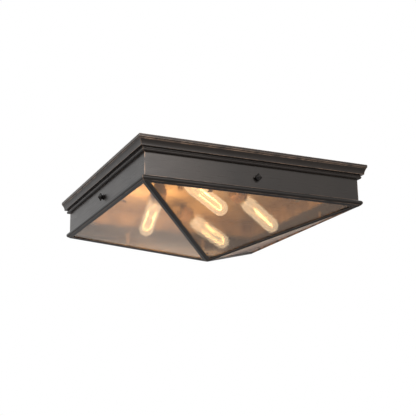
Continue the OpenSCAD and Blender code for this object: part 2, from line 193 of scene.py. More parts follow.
# %% [markdown]
# ## Card behind the light
# Glass seen at a flat angle mirrors whatever stands behind it, and a white room would turn the far
# panes white. Photographers put a card there, and so does this scene. It shows only in reflections.

# %% Brown card
CARD_HALF = 0.9
CARD_PLACE = (2.1, 3.0, 0.75)

card_mesh = bmesh.new()
bmesh.ops.create_grid(card_mesh, x_segments=1, y_segments=1, size=CARD_HALF)
card = put("brown_card", card_mesh)
aim(card, CARD_PLACE, (0, 0, 0))
card.visible_camera = card.visible_diffuse = card.visible_transmission = card.visible_shadow = False
print(f"brown card, {2 * CARD_HALF} m wide")

# %% [markdown]
# ## Shared effects
# Several finishes have the same things happen to them: paint rubs off broken edges, and the lighter
# colour there is also a painted highlight along them; sheet metal keeps fine lines from brushing, and
# every finish is a little uneven. Each effect is one node group with named sockets, built once. The
# groups give only masks, values and heights, and the shader stays in each material, where its own
# settings can be read.

# %% Helpers for node groups


def new_group(name, inputs, outputs):
    """An empty shader node group with float sockets of these names, and its two end nodes."""
    group = bpy.data.node_groups.new(name, "ShaderNodeTree")
    for label, value in inputs.items():
        socket = group.interface.new_socket(
            label, in_out="INPUT", socket_type="NodeSocketFloat"
        )
        socket.default_value = value
    for label in outputs:
        group.interface.new_socket(label, in_out="OUTPUT", socket_type="NodeSocketFloat")
    return group, group.nodes.new("NodeGroupInput"), group.nodes.new("NodeGroupOutput")


def math_node(tree, operation, first, second=None, clamp=False):
    """A Math node whose inputs are sockets or plain numbers. Gives its output socket."""
    node = tree.nodes.new("ShaderNodeMath")
    node.operation = operation
    node.use_clamp = clamp
    for index, value in enumerate((first, second)):
        if isinstance(value, (int, float)):
            node.inputs[index].default_value = value
        elif value is not None:
            tree.links.new(value, node.inputs[index])
    return node.outputs[0]


def spread(tree, value, low, high):
    """Stretches the part of a value between low and high over 0 to 1."""
    node = tree.nodes.new("ShaderNodeMapRange")
    tree.links.new(value, node.inputs["Value"])
    node.inputs["From Min"].default_value = low
    node.inputs["From Max"].default_value = high
    return node.outputs["Result"]


def noise(tree, scale, detail=3.0, stretch=(1, 1, 1)):
    """Noise on Object coordinates. The stretch squeezes it along chosen axes."""
    place = tree.nodes.new("ShaderNodeTexCoord")
    turn = tree.nodes.new("ShaderNodeMapping")
    turn.inputs["Scale"].default_value = stretch
    made = tree.nodes.new("ShaderNodeTexNoise")
    made.inputs["Detail"].default_value = detail
    if isinstance(scale, (int, float)):
        made.inputs["Scale"].default_value = scale
    else:
        tree.links.new(scale, made.inputs["Scale"])
    tree.links.new(place.outputs["Object"], turn.inputs["Vector"])
    tree.links.new(turn.outputs["Vector"], made.inputs["Vector"])
    return made.outputs["Fac"]


print("helpers for node groups are ready")

# %% Rubbed edges with painted highlight, unevenness and brushed lines
# This mask marks rubbed edges, and the lighter colour laid there is also a painted highlight.
rubbed_and_highlit, rubbed_and_highlit_in, rubbed_and_highlit_out = new_group("Rubbed edges and painted highlight", {"Patch scale": 60.0}, ["Mask"])
edge = rubbed_and_highlit.nodes.new("ShaderNodeAttribute")
edge.attribute_name = "edge"
patches = spread(rubbed_and_highlit, noise(rubbed_and_highlit, rubbed_and_highlit_in.outputs["Patch scale"], 4.0), 0.3, 0.62)
rubbed_and_highlit.links.new(
    math_node(rubbed_and_highlit, "MULTIPLY", edge.outputs["Fac"], patches, clamp=True),
    rubbed_and_highlit_out.inputs["Mask"],
)

uneven, uneven_in, uneven_out = new_group(
    "Uneven finish", {"Cloud scale": 9.0, "Grain scale": 900.0}, ["Cloud", "Grain"]
)
cloud = spread(uneven, noise(uneven, uneven_in.outputs["Cloud scale"], 5.0), 0.3, 0.7)
uneven.links.new(cloud, uneven_out.inputs["Cloud"])
uneven.links.new(
    noise(uneven, uneven_in.outputs["Grain scale"], 2.0), uneven_out.inputs["Grain"]
)

brushed, brushed_in, brushed_out = new_group(
    "Brushed lines", {"Line scale": 40.0}, ["Along X", "Along Y"]
)
for label, stretch in (("Along X", (0.6, 30, 30)), ("Along Y", (30, 0.6, 30))):
    lines = noise(brushed, brushed_in.outputs["Line scale"], 6.0, stretch)
    brushed.links.new(spread(brushed, lines, 0.3, 0.7), brushed_out.inputs[label])
print("three node groups: rubbed edges, uneven finish, brushed lines")

# %% [markdown]
# ## Helpers for materials
# A material is a small tree of nodes. Placing a group, mixing two colours, starting from a bare
# shader and adding a bump come up again and again, so each is a short function.

# %% Helpers for materials


def group_node(tree, group, **values):
    """Places a node group and sets its inputs by name, with underscores for spaces."""
    node = tree.nodes.new("ShaderNodeGroup")
    node.node_tree = group
    for label, value in values.items():
        node.inputs[label.replace("_", " ")].default_value = value
    return node


def blend_colour(tree, mask, first, second):
    """Mixes two colours, each a socket or a plain colour, by a mask."""
    node = tree.nodes.new("ShaderNodeMix")
    node.data_type = "RGBA"
    tree.links.new(mask, node.inputs["Factor"])
    for label, value in (("A", first), ("B", second)):
        socket = next(s for s in node.inputs if s.name == label and s.type == "RGBA")
        if isinstance(value, tuple):
            socket.default_value = (*value, 1)
        else:
            tree.links.new(value, socket)
    return next(s for s in node.outputs if s.type == "RGBA")


def new_material(name):
    """A material with nothing but a Principled shader and its output."""
    material = bpy.data.materials.new(name)
    material.use_nodes = True
    tree = material.node_tree
    tree.nodes.clear()
    out = tree.nodes.new("ShaderNodeOutputMaterial")
    shader = tree.nodes.new("ShaderNodeBsdfPrincipled")
    tree.links.new(shader.outputs["BSDF"], out.inputs["Surface"])
    return material, tree, shader, out


def bump(tree, shader, height, distance):
    """Feeds a height to the shader's normal. A height of one stands for the distance, in metres."""
    node = tree.nodes.new("ShaderNodeBump")
    node.inputs["Strength"].default_value = 1.0
    node.inputs["Distance"].default_value = distance
    tree.links.new(height, node.inputs["Height"])
    tree.links.new(node.outputs["Normal"], shader.inputs["Normal"])


print("helpers for materials are ready")

# %% [markdown]
# ## One recipe for all metals
# All the metals share one recipe, and only the numbers differ. It mixes a body colour with a second one
# for clouds, darkens the brushed lines, and lays the colour of rubbed edges on last, because bare metal
# shows through everything above it; that lighter edge colour is also a painted highlight. The same lines
# or grain drive the roughness and the bump.

# %% The recipe
metals = {}
GRAIN_DEPTH = 0.02 * MM


def metal(name, body, clouds, worn_and_highlit, metallic, gloss, lines=None, depth=0.6, patch=9.0, shine=0.5):
    """A metal finish.

    body and clouds are colours, and so is the third, the edge colour: rubbed metal and a painted
    highlight along the edges. gloss is the lowest and highest roughness, and lines is the direction of
    the brushing. Where it is brushed, depth darkens the lines.
    """
    material, tree, shader, _ = new_material(name)
    finish = group_node(tree, uneven, Cloud_scale=patch)
    colour = blend_colour(tree, finish.outputs["Cloud"], body, clouds)
    texture = finish.outputs["Grain"]
    if lines:
        texture = group_node(tree, brushed).outputs[lines]
        darker = tuple(value / 2 for value in body)
        streaks = math_node(tree, "MULTIPLY", texture, depth)
        colour = blend_colour(tree, streaks, colour, darker)
    edges = group_node(tree, rubbed_and_highlit).outputs["Mask"]
    tree.links.new(blend_colour(tree, edges, colour, worn_and_highlit), shader.inputs["Base Color"])
    rough = tree.nodes.new("ShaderNodeMapRange")
    rough.inputs["To Min"].default_value, rough.inputs["To Max"].default_value = gloss
    tree.links.new(texture, rough.inputs["Value"])
    tree.links.new(rough.outputs["Result"], shader.inputs["Roughness"])
    shader.inputs["Metallic"].default_value = metallic
    shader.inputs["Specular IOR Level"].default_value = shine
    bump(tree, shader, texture, GRAIN_DEPTH)
    metals[name] = material


print("the recipe for metals is ready")

# %% [markdown]
# ## The metals of this light
# Walls and crown have a dark bronze paint, brushed along their length, so each comes in two directions.
# The crown's copy is a little darker, as painted shade on the moulding that faces down, and all the
# paints carry a painted highlight on their rubbed edges. The frame of the shade is darker and isn't
# brushed. The reflector and the inner faces of the walls have small, strong clouds, which show through
# the glass as the mottled bronze of the photograph. The inner faces are also far lighter and warmer than
# the outer paint: that is painted lamplight. Thumb screws are nearly black, and the hidden fittings are
# brass and plated steel.

# %% Metal materials
# Colour of rubbed edges: bare copper of the finish and a painted highlight along the edges.
RUBBED_AND_HIGHLIGHT = (0.27, 0.175, 0.12)
# Each finish gives body, clouds, worn edge with painted highlight, metallic and gloss, in that order.
PAINT = ((0.03, 0.025, 0.022), (0.042, 0.034, 0.029), RUBBED_AND_HIGHLIGHT, 0.5, (0.26, 0.38))
# The crown is a little darker than the walls: painted shade on the moulding that faces down.
CROWN_PAINTED_SHADE = ((0.026, 0.02, 0.017), (0.037, 0.029, 0.024), RUBBED_AND_HIGHLIGHT, 0.2, (0.3, 0.42))
FRAME = ((0.014, 0.011, 0.009), (0.022, 0.017, 0.014), RUBBED_AND_HIGHLIGHT, 0.3, (0.32, 0.44))
BRONZE = ((0.85, 0.62, 0.34), (0.16, 0.1, 0.05), (0.7, 0.52, 0.32), 0.55, (0.2, 0.42))
# Inner faces: a light, warm colour that is painted lamplight on the inner paint.
INNER_PAINTED_LAMPLIGHT = ((0.6, 0.42, 0.23), (0.1, 0.065, 0.035), (0.5, 0.36, 0.2), 0.45, (0.25, 0.45))
SCREW = ((0.016, 0.014, 0.013), (0.024, 0.02, 0.018), (0.1, 0.075, 0.06), 0.5, (0.08, 0.18))
for lines in ("Along X", "Along Y"):
    metal(f"bronze_paint {lines}", *PAINT, lines=lines, depth=0.35)
    metal(f"crown_paint {lines}", *CROWN_PAINTED_SHADE, lines=lines, depth=0.5, shine=0.28)
metal("frame_bronze", *FRAME, shine=0.35)
metal("dark_bronze", *SCREW)
metal("brushed_bronze", *BRONZE, lines="Along X", patch=28.0)
metal("inner_bronze_painted_lamplight", *INNER_PAINTED_LAMPLIGHT, lines="Along X", patch=28.0)
metal("aged_brass", (0.3, 0.22, 0.12), (0.22, 0.16, 0.09), (0.5, 0.39, 0.22), 0.8, (0.3, 0.45))
metal("zinc_steel", (0.62, 0.62, 0.6), (0.52, 0.53, 0.52), (0.75, 0.75, 0.74), 0.9, (0.28, 0.42))
metal("bulb_brass", (0.72, 0.56, 0.28), (0.62, 0.46, 0.22), (0.85, 0.7, 0.4), 0.95, (0.2, 0.34))
metal("solder", (0.55, 0.55, 0.55), (0.42, 0.42, 0.43), (0.65, 0.65, 0.65), 0.8, (0.3, 0.5))
metal("nickel_wire", (0.6, 0.56, 0.5), (0.5, 0.46, 0.4), (0.7, 0.66, 0.6), 0.9, (0.25, 0.4))
print(f"{len(metals)} metals")

# %% [markdown]
# ## Moulded plastic and black glass
# The holders are brown phenolic, pressed from a powder that leaves tiny paler specks. The bulb's
# insulator is black glass. Both are smooth and not metallic.

# %% Phenolic and black glass
phenolic, tree, shader, _ = new_material("dark_phenolic")
finish = group_node(tree, uneven, Cloud_scale=60.0, Grain_scale=1500.0)
specks = spread(tree, finish.outputs["Grain"], 0.62, 0.7)
speckled = blend_colour(tree, specks, (0.19, 0.12, 0.075), (0.3, 0.2, 0.13))
tree.links.new(speckled, shader.inputs["Base Color"])
shader.inputs["Roughness"].default_value = 0.42
bump(tree, shader, finish.outputs["Grain"], GRAIN_DEPTH)

insulator_glass, tree, shader, _ = new_material("black_insulator")
finish = group_node(tree, uneven, Cloud_scale=120.0)
tree.links.new(
    blend_colour(tree, finish.outputs["Cloud"], (0.01, 0.008, 0.012), (0.03, 0.02, 0.03)),
    shader.inputs["Base Color"],
)
shader.inputs["Roughness"].default_value = 0.12
print("phenolic and black insulator")

# %% [markdown]
# ## Glass
# Real glass bends light, and a path tracer then can't find the lamps behind it. A known way round
# this mixes in a Transparent shader for shadow rays alone: the eye still sees bent light and
# reflections, and the lamps light what stands behind the glass. The panes are rolled sheet, so their
# surface has slow waves with a fine grain on them, both made as bump. A lit bulb's own glass glows a
# little, because light scatters in it, so the tube gets a weak emission.

# %% Glass materials
BLOW_DEPTH = 0.04 * MM
WAVE_DEPTH = 4 * MM
GRAIN_SHARE = 0.026


def glass(name, tint, roughness, shadow):
    """Clear glass that lets the light of lamps through, tinted by shadow."""
    material, tree, shader, out = new_material(name)
    shader.inputs["Base Color"].default_value = (*tint, 1)
    shader.inputs["Roughness"].default_value = roughness
    shader.inputs["Transmission Weight"].default_value = 1.0
    shader.inputs["IOR"].default_value = 1.5
    clear = tree.nodes.new("ShaderNodeBsdfTransparent")
    clear.inputs["Color"].default_value = (*shadow, 1)
    path = tree.nodes.new("ShaderNodeLightPath")
    mix = tree.nodes.new("ShaderNodeMixShader")
    tree.links.new(path.outputs["Is Shadow Ray"], mix.inputs["Fac"])
    tree.links.new(shader.outputs["BSDF"], mix.inputs[1])
    tree.links.new(clear.outputs["BSDF"], mix.inputs[2])
    tree.links.new(mix.outputs["Shader"], out.inputs["Surface"])
    return material, tree, shader


bulb_glass, tree, shader = glass("blown_glass", (1.0, 0.99, 0.97), 0.0, (0.97, 0.95, 0.92))
bump(tree, shader, noise(tree, 60.0, 2.0), BLOW_DEPTH)
shader.inputs["Emission Color"].default_value = (1.0, 0.88, 0.68, 1)
shader.inputs["Emission Strength"].default_value = 0.13

pane_glass, tree, shader = glass("wavy_pane_glass", (0.98, 0.84, 0.68), 0.0, (0.92, 0.86, 0.8))
waves = noise(tree, 6.0, 0.0)
grain = math_node(tree, "MULTIPLY", noise(tree, 190.0, 3.0), GRAIN_SHARE)
bump(tree, shader, math_node(tree, "ADD", waves, grain), WAVE_DEPTH)
shader.inputs["Transmission Weight"].default_value = 0.95
shader.inputs["Specular Tint"].default_value = (0.8, 0.62, 0.54, 1)
print("two kinds of glass")

# %% [markdown]
# ## Glowing filament
# The lit hairpin is the brightest thing in the photograph. It is an emitter that gets hotter towards
# its bend: an attribute called heat, set where the wire is made, blends a dim colour into white. The
# light that fills the shade comes from four small lamps at the hairpins, because a thin emitter
# alone would leave the image full of noise.

# %% Filament material
lit, tree, shader, _ = new_material("lit_filament")
heat = tree.nodes.new("ShaderNodeAttribute")
heat.attribute_name = "heat"
white_hot = blend_colour(tree, noise(tree, 300.0, 1.0), (1.0, 0.93, 0.8), (1.0, 0.95, 0.86))
glow = blend_colour(tree, heat.outputs["Fac"], (0.16, 0.1, 0.045), white_hot)
tree.links.new(glow, shader.inputs["Emission Color"])
tree.links.new(glow, shader.inputs["Base Color"])
shader.inputs["Emission Strength"].default_value = 18.0
print("filament glows")

# %% [markdown]
# ## Dressing the sheet metal
# A CAD edge is perfectly sharp, and no real edge is. A sharp edge catches no light, so a render of it
# looks like paper. Each rigid solid is copied, its doubled corners are merged, its flat faces are
# joined, and its sharp edges get a fine bevel. Paint also rubs off beside an outer edge, and a highlight
# is painted along it as well, so a narrow band is cut into the faces there, and an attribute called edge
# fades from one at the bevel to nothing across the band. The effect for rubbed edges and painted
# highlight reads it. Slivers are removed before the bevel, because one sliver makes its clamp shrink
# every bevel to nothing. The Weighted Normal modifier then keeps flat faces flat.

# %% A merged copy
body_of_node = {
    node: body for body, members in frame["record"]["behaviour"]["bodies"].items() for node in members
}
OUTWARD = {"back": (0, 1, 0), "left": (-1, 0, 0), "front": (0, -1, 0), "right": (1, 0, 0)}
MERGE = 0.01 * MM
SLIVER = 2 * MERGE
# Faces that turn by less than this angle, in radians, are joined.
FLAT = 0.002


def merged_copy(node):
    """The solid's mesh with doubled corners merged, slivers removed and flat faces joined."""
    bm = bmesh.new()
    bm.from_mesh(nodes[node].data)
    bmesh.ops.remove_doubles(bm, verts=bm.verts, dist=MERGE)
    bmesh.ops.dissolve_degenerate(bm, dist=SLIVER, edges=bm.edges)
    bmesh.ops.dissolve_limit(bm, angle_limit=FLAT, verts=bm.verts, edges=bm.edges)
    bmesh.ops.dissolve_degenerate(bm, dist=SLIVER, edges=bm.edges)
    bm.normal_update()
    return bm


print(f"{len(body_of_node)} nodes ride on {len(set(body_of_node.values()))} bodies")

# %% [markdown]
# ## Bands for the wear and painted highlight
# The mask can only fade where there are corners to hold its values, so each long outer edge gets a
# cut beside it. bisect_plane works for a face of any shape, where an inset would turn small corners
# inside out. Short edges get no band, because it would leave nothing but slivers there.

# %% Bands beside outer edges
SHARP = math.radians(25)
LONG = 50 * MM
SNAP = 5 * MERGE
# A band is cut only into a face that is deeper than this many bands.
ROOM_FOR_BAND = 2.5


def sharp_edges(bm):
    """The edges where two faces meet at more than the angle SHARP."""
    return [e for e in bm.edges if e.is_manifold and e.calc_face_angle(0) > SHARP]


def cut_bands(bm, reach):
    """Cuts a narrow band beside each long outer edge, so that wear and a painted highlight can fade out
    across it.
    """
    for edge in [e for e in sharp_edges(bm) if e.is_convex and e.calc_length() > LONG]:
        for loop in list(edge.link_loops):
            face, start = loop.face, loop.vert.co.copy()
            inward = face.normal.cross(loop.link_loop_next.vert.co - start).normalized()
            if max((v.co - start).dot(inward) for v in face.verts) > ROOM_FOR_BAND * reach:
                bmesh.ops.bisect_plane(
                    bm,
                    geom=[face, *face.edges, *face.verts],
                    dist=SNAP,
                    plane_co=start + reach * inward,
                    plane_no=inward,
                )


print(f"a band is cut beside outer edges longer than {LONG / MM:.0f} mm")

# %% [markdown]
# ## Bevels and their mask
# The bevel comes after the bands, so that it eats into them evenly. Its faces lie on outer edges and in
# inner corners alike, and only the outer ones are rubbed and get the painted highlight. The mask is kept
# for each corner of each face, because one point can be bare on one face and painted on the next.

# %% Bevels and mask
# A face narrower than this many bands is taken for a band.
NARROW = 1.2


def is_outer(face):
    """Whether a face of a bevel lies on an outer edge, and not in an inner corner."""
    return sum(e.calc_length() * (1 if e.is_convex else -1) for e in face.edges) > 0


def break_edges(bm, width, reach, clamp):
    """Bevels the sharp edges and makes the mask called edge, for rubbed wear and a painted highlight.

    It is one on a bevel that lies on an outer edge, and fades to nothing across a band beside it.
    """
    mark = bm.loops.layers.float.new("edge")
    made = bmesh.ops.bevel(
        bm,
        geom=sharp_edges(bm),
        offset=width,
        offset_type="OFFSET",
        affect="EDGES",
        segments=2,
        profile=0.5,
        clamp_overlap=clamp,
        material=-1,
    )
    bm.normal_update()
    worn_and_highlit = {face for face in made["faces"] if is_outer(face)}
    for face in bm.faces:
        narrow = 2 * face.calc_area() < NARROW * reach * face.calc_perimeter()
        for loop in face.loops:
            beside = loop.edge.calc_length() > LONG and set(loop.edge.link_faces) & worn_and_highlit
            if face in worn_and_highlit:
                loop[mark] = 1.0
            elif narrow and beside:
                loop[mark] = loop.link_loop_next[mark] = 1.0
    return mark, len(worn_and_highlit)


print("bevels get the mask")

# %% [markdown]
# ## Rubbed mitres with painted highlight
# Where two lengths meet in a mitre, both are rubbed along the joint and get a painted highlight there.
# The mitre plane runs through the middle of the light, so the cut lies beside it and the fade is a
# distance from it.

# %% Rubbed mitres with painted highlight


def rub_and_highlight_mitres(bm, mark, side, reach):
    """Cuts a band at both mitred ends of one side, and lets the mask fade across it."""
    outward = Vector(OUTWARD[side])
    for along in (outward.yx.to_3d(), -outward.yx.to_3d()):
        mitre = (outward + along).normalized()
        bmesh.ops.bisect_plane(
            bm,
            geom=bm.verts[:] + bm.edges[:] + bm.faces[:],
            dist=SNAP,
            plane_co=reach * mitre,
            plane_no=mitre,
        )
        for loop in (loop for face in bm.faces for loop in face.loops):
            loop[mark] = max(loop[mark], 1 - max(loop.vert.co.dot(mitre), 0) / reach)


print("mitres get the mask")

# %% [markdown]
# ## From a solid to a finished piece
# The steps above are put together here: merge, cut, bevel, mask, and shade smoothly. The piece then
# rides on its node's body and takes its node's place and material slot.

# %% Dress one solid
SMOOTH = math.radians(40)


def shade_smooth(piece, angle):
    """Shades a piece smoothly, apart from edges that turn by more than this angle."""
    piece.data.polygons.foreach_set("use_smooth", [True] * len(piece.data.polygons))
    piece.data.set_sharp_from_angle(angle=angle)


def finish_piece(piece, node):
    """Smooths a piece, keeps its flat faces flat, and lets it stand for its node."""
    shade_smooth(piece, SMOOTH)
    weighted = piece.modifiers.new("flat faces stay flat", "WEIGHTED_NORMAL")
    weighted.keep_sharp = True
    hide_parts(node)


def dress(node, material, width=0.3, reach=0, mitred=None, clamp=False):
    """A finished copy of a solid with edges broken by width, rubbed and given a painted highlight over
    reach, in millimetres.

    mitred names the side of a length whose mitres are rubbed and highlit too. clamp keeps bevels from
    meeting.
    """
    bm = merged_copy(node)
    if reach:
        cut_bands(bm, reach * MM)
    mark, count = break_edges(bm, width * MM, reach * MM, clamp)
    if mitred:
        rub_and_highlight_mitres(bm, mark, mitred, reach * MM)
    piece = put(f"{node}_piece", bm, body_of_node[node], [material])
    finish_piece(piece, node)
    print(f"{piece.name}: {count} edge faces, {len(piece.data.polygons)} faces")
    return piece


# %% [markdown]
# ## Crown and shade frame
# The crown, the frame's lengths and the ribs are the edges that hands and cloths meet, so they get bands
# of wear, which also carry a painted highlight. The small cap at the tip only gets its bevel.

# %% Crown, frame, ribs and cap
SIDES = ("back", "left", "front", "right")
CORNERS = ("back_left", "front_left", "front_right", "back_right")
BRUSHED = {"back": "Along X", "left": "Along Y", "front": "Along X", "right": "Along Y"}
for side in SIDES:
    paint = metals[f"crown_paint {BRUSHED[side]}"]
    dress(f"crown_{side}", paint, 0.35, 1.2, mitred=side, clamp=True)
    dress(f"rail_{side}", metals["frame_bronze"], 0.3, 1.0, mitred=side, clamp=True)
for corner in CORNERS:
    dress(f"rib_{corner}", metals["frame_bronze"], 0.3, 0.7, clamp=True)
dress("apex_cap", metals["frame_bronze"], 0.4)

# %% [markdown]
# ## Box walls
# Outside, a wall has rubbed paint like the crown's, without the crown's painted shade. Inside, the faces
# get a much lighter, warmer, brushed colour: painted lamplight, standing for the lamps' glow on the
# inner paint, which gives the glass its golden look. One mesh can have both: the faces that look towards
# the middle of the box get the second material.

# %% Walls with painted lamplight on the inner face
FACES_INWARD = -0.9
for side in SIDES:
    paint = metals[f"bronze_paint {BRUSHED[side]}"]
    wall = dress(f"wall_{side}", paint, 0.35, 1.2, mitred=side, clamp=True)
    wall.data.materials.append(metals["inner_bronze_painted_lamplight"])
    outward = Vector(OUTWARD[side])
    inner = [p for p in wall.data.polygons if p.normal.dot(outward) < FACES_INWARD]
    for polygon in inner:
        polygon.material_index = 1
    print(f"wall_{side}: {len(inner)} warm inner faces")

# %% [markdown]
# ## Plain fittings
# Pan, reflector, strap, nuts, clips, brackets, washers and thumb screws get a fine bevel and no bands
# of wear, because they are small or hidden. The bevels of the cap nuts have to be kept from meeting.

# %% Plain fittings
FITTINGS = {
    "back_pan": ("bronze_paint Along X", 0.3, False),
    "reflector": ("brushed_bronze", 0.2, False),
    "mounting_strap": ("zinc_steel", 0.2, False),
    "cap_nuts": ("aged_brass", 0.25, True),
    "pane_clips": ("aged_brass", 0.15, False),
    "apex_nut": ("aged_brass", 0.25, False),
}
for node, (finish_name, width, clamp) in FITTINGS.items():
    dress(node, metals[finish_name], width, clamp=clamp)
for lamp in ("left", "front", "right", "back"):
    dress(f"bracket_{lamp}", metals["aged_brass"], 0.25)
for side in SIDES:
    dress(f"washer_{side}", metals["dark_bronze"], 0.15)
    dress(f"thumb_screw_{side}", metals["dark_bronze"], 0.15)

# %% [markdown]
# ## Solids without a dressed copy
# Studs, fixed nuts and bracket screws sit inside, where a bevel would hardly be seen. They keep the
# CAD model's mesh and only get their material.

# %% Solids that keep their own mesh
KEPT = {
    "strap_studs": metals["zinc_steel"],
    "clinch_nuts": metals["zinc_steel"],
    "bracket_screws_set": metals["aged_brass"],
}
for node, material in KEPT.items():
    nodes[node].data.materials.clear()
    nodes[node].data.materials.append(material)
print(f"{len(KEPT)} solids keep their mesh")

# %% [markdown]
# ## Panes
# Each pane is a flat triangle of rolled glass with ground edges. The copy of the solid gets a small
# bevel all round, and the waves come from its material.

# %% Glass panes
for side in SIDES:
    dress(f"pane_{side}", pane_glass, 0.4)

# %% [markdown]
# ## Lamps
# A lamp hangs from its contact at a slant. Each one is modelled along +X from the contact, which is
# the easiest place to think about it, and then every corner is moved by one matrix. The same
# numbers as in the CAD model give the four matrices.
#
# LAMPS gives each contact's X and Y as shares of the half width inside the walls, the heading of the
# bulb, and how far the hairpin is rolled about the bulb's axis, both in degrees.

# %% Where the lamps are
WALL_IN = 220.1 * MM
LAMP_DROP = 28.8 * MM
TOTAL_HEIGHT = 161.9 * MM
DIP_SHARE = 0.36
BULB_LENGTH = 124 * MM
LAMP_SLANT = math.asin(DIP_SHARE * TOTAL_HEIGHT / BULB_LENGTH)
LAMPS = {
    "left": (-0.49, -0.055, 84, 8),
    "front": (-0.545, -0.59, 9, 72),
    "right": (0.173, -0.273, 15, 48),
    "back": (0.01, 0.545, 5, 90),
}


def lamp_matrix(lamp, roll=False):
    """From the lamp's own frame, with +X along the bulb, to the frame of the whole light."""
    x, y, heading, filament_turn = LAMPS[lamp]
    matrix = (
        Matrix.Translation((x * WALL_IN, y * WALL_IN, -LAMP_DROP))
        @ Matrix.Rotation(math.radians(heading), 4, "Z")
        @ Matrix.Rotation(LAMP_SLANT, 4, "Y")
    )
    if roll:
        matrix = matrix @ Matrix.Rotation(math.radians(filament_turn), 4, "X")
    return matrix


def profile(bm, points, closed=False):
    """A chain of corners in the XZ plane, in millimetres, ready to be spun about X.

    An edge that lies on the axis is left out, because it would sweep no face.
    """
    made = [bm.verts.new((x * MM, 0, z * MM)) for x, z in points]
    pairs = list(zip(made, made[1:])) + ([(made[-1], made[0])] if closed else [])
    edges = [bm.edges.new(pair) for pair in pairs if any(vert.co.z for vert in pair)]
    return made + edges


def turned(points, steps=48, closed=False):
    """A body turned on a lathe about X from a profile of (x, radius) points."""
    bm = bmesh.new()
    bmesh.ops.spin(
        bm,
        geom=profile(bm, points, closed),
        cent=(0, 0, 0),
        axis=(1, 0, 0),
        angle=math.tau,
        steps=steps,
        use_merge=True,
    )
    bmesh.ops.remove_doubles(bm, verts=bm.verts, dist=MERGE)
    bmesh.ops.recalc_face_normals(bm, faces=bm.faces)
    return bm


print(f"the lamps slant {math.degrees(LAMP_SLANT):.2f} degrees")

# %% [markdown]
# ## Bulb glass
# The bulb is a blown tube with a drawn-in neck and a round end. Its profile goes up the outside to
# the tip, back down the inside, and closes at the rim, so the spin makes a wall of nearly even
# thickness with no gap. A solid body of glass would bend light far more than a thin wall does.

# %% Bulb glass
BULB_RADIUS = 15
NECK_RADIUS = 11.2
NECK_FROM, NECK_TO = 23, 38
TUBE_END = 109
WALL = 0.5
END_STEPS = 12
RIM_ANGLE = math.radians(50)


def neck_radius(x):
    """Outer radius of the neck, which swells in a soft curve from the base to the tube."""
    share = min(max((x - NECK_FROM) / (NECK_TO - NECK_FROM), 0), 1)
    soft = share * share * (3 - 2 * share)
    return NECK_RADIUS + (BULB_RADIUS - NECK_RADIUS) * soft


def bulb_outline(inset):
    """Outline of the tube from the base to the tip, moved in by inset."""
    stations = (16, 20, NECK_FROM, 25, 27, 29, 31, 33, 35, NECK_TO, 60, 85, TUBE_END)
    points = [(x, neck_radius(x) - inset) for x in stations]
    radius = BULB_RADIUS - inset
    for step in range(1, END_STEPS + 1):
        angle = math.pi / 2 * step / END_STEPS
        points.append((TUBE_END + radius * math.sin(angle), radius * math.cos(angle)))
    points[-1] = (points[-1][0], 0)
    return points


for lamp in LAMPS:
    outline = bulb_outline(0) + list(reversed(bulb_outline(WALL)))
    tube_mesh = turned(outline, closed=True)
    tube_mesh.transform(lamp_matrix(lamp))
    tube = put(f"bulb_tube_{lamp}", tube_mesh, f"lamp_{lamp}", [bulb_glass])
    shade_smooth(tube, RIM_ANGLE)
    tube.visible_diffuse = False
    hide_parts(f"bulb_glass_{lamp}")
    print(f"{tube.name}: {len(tube.data.polygons)} faces")

# %% [markdown]
# ## Screw base
# The cap's thread is rolled into thin brass, so it winds. A short profile of one thread, swept round
# the axis while it also moves along, makes a true helix: that is what spin's dvec is for. A plain
# collar, the black insulator and the solder contact close the ends.

# %% Screw base
PITCH = 2.8
TURNS = 4
TURN_STEPS = 40
BASE_RADIUS = 13
ROOT_RADIUS = 12.3
THREAD_FROM = 5.6
THREAD = [
    (THREAD_FROM, ROOT_RADIUS),
    (6.1, ROOT_RADIUS + 0.1),
    (6.65, BASE_RADIUS - 0.15),
    (7.0, BASE_RADIUS),
    (7.35, BASE_RADIUS - 0.15),
    (7.9, ROOT_RADIUS + 0.1),
    (THREAD_FROM + PITCH, ROOT_RADIUS),
]
SHELL = [
    (3.2, 8.6), (4.0, 9.4), (5.2, 11.4), (6.2, 12.2), (6.2, 11.9), (18.0, 11.9), (18.0, ROOT_RADIUS),
    (20.8, ROOT_RADIUS), (21.6, 12.7), (22.0, 12.6), (22.0, 11.3), (21.0, 11.2), (6.5, 11.3),
    (5.0, 10.4), (3.2, 8.6),
]
INSULATOR = [(1.2, 0), (1.2, 4.4), (2.0, 6.8), (3.4, 9.0), (4.6, 9.6), (4.6, 0)]
CONTACT = [(0.0, 0), (0.0, 2.6), (0.4, 3.6), (1.0, 4.2), (1.4, 4.3), (1.4, 0)]

